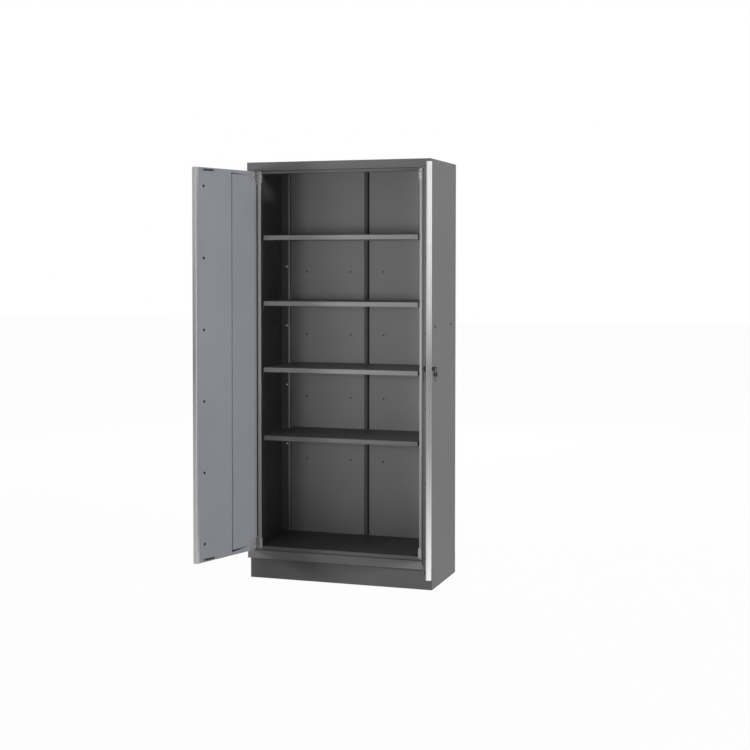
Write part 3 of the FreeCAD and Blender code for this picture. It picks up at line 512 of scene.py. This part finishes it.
def seen_directly(tree):
    """One on rays that show the background: from the camera, and off or through a glossy surface."""
    path = tree.nodes.new("ShaderNodeLightPath")
    either = tree.nodes.new("ShaderNodeMath")
    either.operation = "MAXIMUM"
    tree.links.new(path.outputs["Is Camera Ray"], either.inputs[0])
    tree.links.new(path.outputs["Is Glossy Ray"], either.inputs[1])
    whole = tree.nodes.new("ShaderNodeMath")
    whole.operation = "MAXIMUM"
    tree.links.new(either.outputs[0], whole.inputs[0])
    tree.links.new(path.outputs["Is Transmission Ray"], whole.inputs[1])
    return whole.outputs[0]


floor_material, tree, shader = new_material("pale_floor")
shader.inputs["Base Color"].default_value = (0.8, 0.8, 0.8, 1)
shader.inputs["Roughness"].default_value = 0.9
shader.inputs["Specular IOR Level"].default_value = 0.0
glow = tree.nodes.new("ShaderNodeEmission")
share = tree.nodes.new("ShaderNodeMath")
share.operation = "MULTIPLY"
share.inputs[1].default_value = FLOOR_GLOW
mix = tree.nodes.new("ShaderNodeMixShader")
tree.links.new(seen_directly(tree), share.inputs[0])
tree.links.new(share.outputs[0], mix.inputs["Fac"])
tree.links.new(shader.outputs["BSDF"], mix.inputs[1])
tree.links.new(glow.outputs["Emission"], mix.inputs[2])
tree.links.new(mix.outputs["Shader"], tree.nodes["Material Output"].inputs["Surface"])
floor.data.materials.append(floor_material)

# World: plain fill light, white where it is seen
world = bpy.data.worlds.new("studio")
scene.world = world
world.use_nodes = True
tree = world.node_tree
tree.nodes.clear()
fill = tree.nodes.new("ShaderNodeBackground")
fill.inputs["Color"].default_value = (1, 1, 1, 1)
fill.inputs["Strength"].default_value = FILL_STRENGTH
white = tree.nodes.new("ShaderNodeBackground")
white.inputs["Color"].default_value = (1, 1, 1, 1)
white.inputs["Strength"].default_value = 1.0
mix = tree.nodes.new("ShaderNodeMixShader")
output = tree.nodes.new("ShaderNodeOutputWorld")
tree.links.new(seen_directly(tree), mix.inputs["Fac"])
tree.links.new(fill.outputs["Background"], mix.inputs[1])
tree.links.new(white.outputs["Background"], mix.inputs[2])
tree.links.new(mix.outputs["Shader"], output.inputs["Surface"])


# Lights

SPOT_RADIUS = 0.5
SPOT_ANGLE = math.radians(34)


def hang(name, lamp, place, aim, mirrored):
    """Put a lamp at a place, turned to a point, and seen in shiny surfaces if mirrored."""
    holder = bpy.data.objects.new(name, lamp)
    scene.collection.objects.link(holder)
    holder.location = place
    holder.rotation_euler = (Vector(aim) - Vector(place)).to_track_quat("-Z", "Y").to_euler()
    holder.visible_camera = False
    holder.visible_glossy = mirrored


def soft_light(name, place, aim, width, height, power, mirrored=True):
    """A soft rectangular lamp."""
    lamp = bpy.data.lights.new(name, "AREA")
    lamp.shape = "RECTANGLE"
    lamp.size = width
    lamp.size_y = height
    lamp.energy = power
    hang(name, lamp, place, aim, mirrored)


def soft_spot(name, place, aim, power):
    """A round soft lamp whose beam fades away from its middle."""
    lamp = bpy.data.lights.new(name, "SPOT")
    lamp.shadow_soft_size = SPOT_RADIUS
    lamp.spot_size = SPOT_ANGLE
    lamp.spot_blend = 1.0
    lamp.energy = power
    hang(name, lamp, place, aim, False)


soft_light("key_light", (12.82, -6.18, 2.4), (-0.2, -0.6, 1.0),
           width=0.7, height=3.0, power=1440, mirrored=False)
soft_spot("front_spot", (-0.9, -5.2, 1.3), (0.0, 0.0, 1.36), power=165)
soft_spot("front_right_spot", (0.5, -5.25, 1.3), (0.0, 0.0, 1.40), power=90)
soft_spot("half_left_spot", (-2.3, -5.0, 1.3), (0.0, 0.0, 1.36), power=90)
soft_spot("left_spot", (-3.7, -3.9, 1.3), (0.1, 0.0, 1.26), power=760)
soft_light("back_light", (-1.5, 6.0, 3.0), (0.0, 0.0, 1.0), width=2.5, height=2.5, power=220)


# Camera at the photograph's view

CAMERA_DOWN = math.radians(1.9917)
CAMERA_TURN = math.radians(18.8035)

camera_data = bpy.data.cameras.new("camera")
camera_data.lens = 69.261
camera_data.sensor_width = 36
camera_data.shift_x = 0.037
camera_data.shift_y = -0.08
camera = bpy.data.objects.new("camera", camera_data)
scene.collection.objects.link(camera)
camera.location = (2.2276, -6.8533, 1.5119)
camera.rotation_euler = Euler((math.pi / 2 - CAMERA_DOWN, 0, CAMERA_TURN), "XYZ")
scene.camera = camera

scene.view_settings.view_transform = "Standard"
